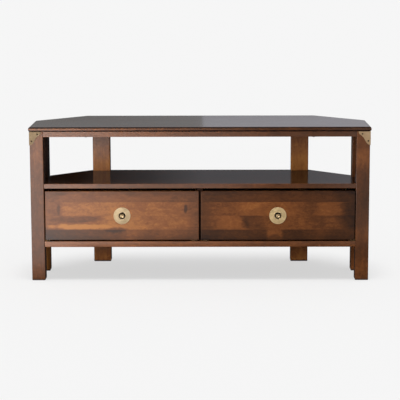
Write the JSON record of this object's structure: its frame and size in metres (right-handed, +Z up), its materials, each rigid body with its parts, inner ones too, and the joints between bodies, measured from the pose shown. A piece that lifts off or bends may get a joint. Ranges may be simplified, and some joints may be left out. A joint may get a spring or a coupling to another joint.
{
  "type": "corner television cabinet",
  "caption": "Low corner television cabinet with cut rear corners: square legs, an open media bay over a shelf, and drawers with round brass pulls beneath.",
  "frame": {"origin": "on the floor, under the middle of the box that holds the cabinet and its knobs", "axes": "+X to the right as seen from the front, +Y from the front to the wall, +Z up"},
  "size_m": [1.2, 0.4058, 0.547],
  "materials": {
    "top_wood": "chestnut-stained strip-laminated hardwood under satin lacquer",
    "frame_wood": "chestnut-stained hardwood under satin lacquer",
    "shelf_wood": "chestnut-stained strip-laminated hardwood under satin lacquer",
    "case_wood": "chestnut-stained panels under satin lacquer",
    "drawer_front_wood": "staves of mixed brown, darker along the edges, satin lacquer",
    "box_wood": "plain unstained wood, matt",
    "brass": "aged, softly polished",
    "steel": "zinc plated"
  },
  "bodies": {
    "cabinet": {"top_panel": "top_wood", "front_apron": "frame_wood", "back_apron": "frame_wood", "bottom_rail": "frame_wood", "shelf": "shelf_wood", "bottom_panel": "box_wood", "back_panel": "case_wood", "centre_divider": "box_wood", "left_front_leg": "frame_wood", "left_side_leg": "frame_wood", "left_rear_leg": "frame_wood", "left_side_apron": "frame_wood", "left_diagonal_apron": "frame_wood", "left_side_panel": "case_wood", "left_diagonal_panel": "case_wood", "left_outer_runner": "box_wood", "left_inner_runner": "box_wood", "left_corner_bracket": "brass", "left_nail_front_upper": "brass", "left_nail_front_lower": "brass", "left_nail_side_upper": "brass", "left_nail_side_lower": "brass", "left_front_top_screw": "steel", "left_back_top_screw": "steel", "right_front_leg": "frame_wood", "right_side_leg": "frame_wood", "right_rear_leg": "frame_wood", "right_side_apron": "frame_wood", "right_diagonal_apron": "frame_wood", "right_side_panel": "case_wood", "right_diagonal_panel": "case_wood", "right_outer_runner": "box_wood", "right_inner_runner": "box_wood", "right_corner_bracket": "brass", "right_nail_front_upper": "brass", "right_nail_front_lower": "brass", "right_nail_side_upper": "brass", "right_nail_side_lower": "brass", "right_front_top_screw": "steel", "right_back_top_screw": "steel"},
    "left_drawer": {"left_drawer_front": "drawer_front_wood", "left_drawer_outer_side": "box_wood", "left_drawer_inner_side": "box_wood", "left_drawer_back": "box_wood", "left_drawer_bottom": "box_wood", "left_knob_plate": "brass", "left_knob": "brass", "left_knob_screw": "steel"},
    "right_drawer": {"right_drawer_front": "drawer_front_wood", "right_drawer_outer_side": "box_wood", "right_drawer_inner_side": "box_wood", "right_drawer_back": "box_wood", "right_drawer_bottom": "box_wood", "right_knob_plate": "brass", "right_knob": "brass", "right_knob_screw": "steel"}
  },
  "joints": [
    {"name": "left_drawer_slide", "type": "slide", "parent": "cabinet", "child": "left_drawer", "axis": [0, -1, 0], "range_m": [0, 0.12]},
    {"name": "right_drawer_slide", "type": "slide", "parent": "cabinet", "child": "right_drawer", "axis": [0, -1, 0], "range_m": [0, 0.12]}
  ]
}
